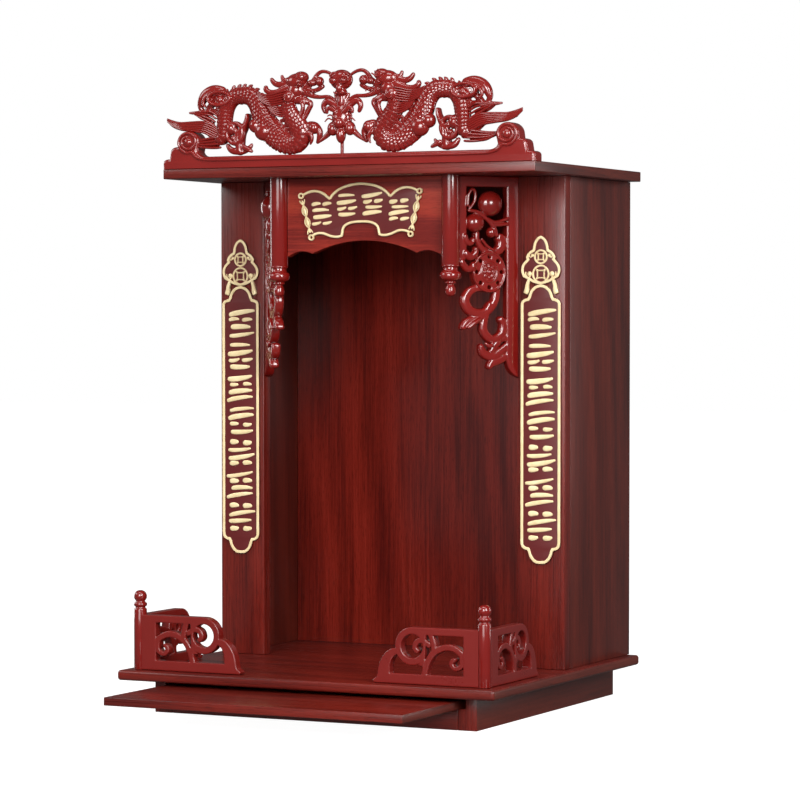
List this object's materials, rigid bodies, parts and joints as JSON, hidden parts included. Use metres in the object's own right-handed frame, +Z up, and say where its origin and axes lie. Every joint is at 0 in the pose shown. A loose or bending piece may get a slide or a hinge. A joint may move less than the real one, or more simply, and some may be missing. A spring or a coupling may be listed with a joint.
{
  "type": "household altar cabinet",
  "caption": "Open-fronted wooden altar cabinet with a pull-out offering shelf, railed forecourt, arched header with plaque, couplet boards and a carved dragon crest.",
  "frame": {"origin": "on the ground, under the middle of the whole cabinet's box with the offering shelf out as shown", "axes": "+Z up, +Y to the cabinet's back, +X to the right as one faces its front"},
  "size_m": [0.61, 0.69, 0.9456],
  "materials": {
    "veneer": "dark red wood grain, satin",
    "lacquer": "glossy dark red lacquer",
    "sign_board": "pale gold raised work on a dark red ground"
  },
  "bodies": {
    "cabinet": {"plinth_side_right": "veneer", "plinth_side_left": "veneer", "plinth_front_board": "veneer", "plinth_back_board": "veneer", "deck_board": "veneer", "cabinet_side_right": "veneer", "cabinet_side_left": "veneer", "front_stile_right": "veneer", "front_stile_left": "veneer", "back_panel": "veneer", "top_board": "veneer", "header_board": "veneer", "header_plaque": "sign_board", "pendant_right": "lacquer", "pendant_left": "lacquer", "corner_bracket_right": "lacquer", "corner_bracket_left": "lacquer", "couplet_board_right": "sign_board", "couplet_board_left": "sign_board", "rail_post_right": "lacquer", "rail_post_left": "lacquer", "front_rail_left": "lacquer", "front_rail_right": "lacquer", "side_rail_left": "lacquer", "side_rail_right": "lacquer", "crest_rail": "lacquer", "dragon_carving": "lacquer"},
    "shelf": {"offering_shelf": "veneer"}
  },
  "joints": [
    {"name": "shelf_slide", "type": "slide", "parent": "cabinet", "child": "shelf", "axis": [0, -1, 0], "range_m": [-0.15, 0.09]}
  ]
}
